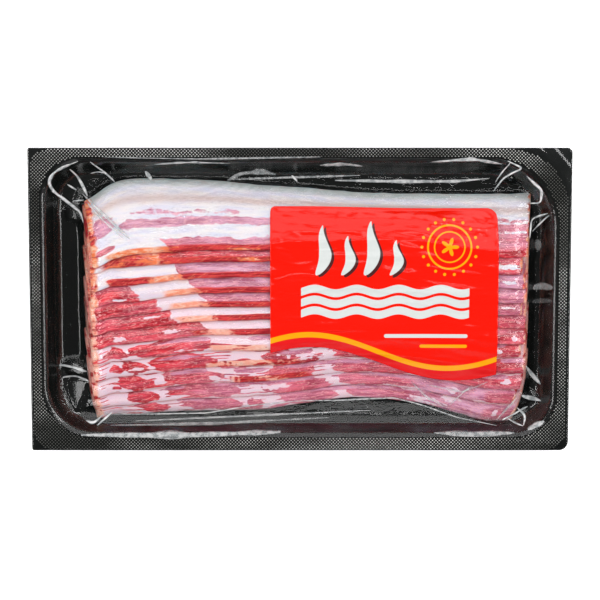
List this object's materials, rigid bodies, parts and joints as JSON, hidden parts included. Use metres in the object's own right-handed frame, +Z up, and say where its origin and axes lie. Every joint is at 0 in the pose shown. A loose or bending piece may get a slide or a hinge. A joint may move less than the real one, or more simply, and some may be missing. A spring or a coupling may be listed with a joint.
{
  "type": "bacon pack",
  "caption": "Sealed vacuum pack of shingled bacon slices in a black plastic tray, under clear film with a printed label.",
  "frame": {"origin": "middle of the tray's flange outline, on the surface that the pack lies on", "axes": "+X along the pack's length towards the label's end, +Y across it towards the uppermost slice, +Z up through the film"},
  "size_m": [0.258, 0.145, 0.017],
  "materials": {
    "tray": "glossy black thermoformed sheet, knurled along the seal",
    "bacon": "moist cured meat, white and cream fat with dark red and pink lean",
    "film": "clear, glossy, tight film with fine wrinkles",
    "label": "printed red sticker with a gold stripe and a crimson lower band"
  },
  "bodies": {
    "root": {"tray": "tray", "slice_01": "bacon", "slice_02": "bacon", "slice_03": "bacon", "slice_04": "bacon", "slice_05": "bacon", "slice_06": "bacon", "slice_07": "bacon", "slice_08": "bacon", "slice_09": "bacon", "slice_10": "bacon", "slice_11": "bacon", "slice_12": "bacon", "film": "film", "label": "label"}
  },
  "joints": []
}
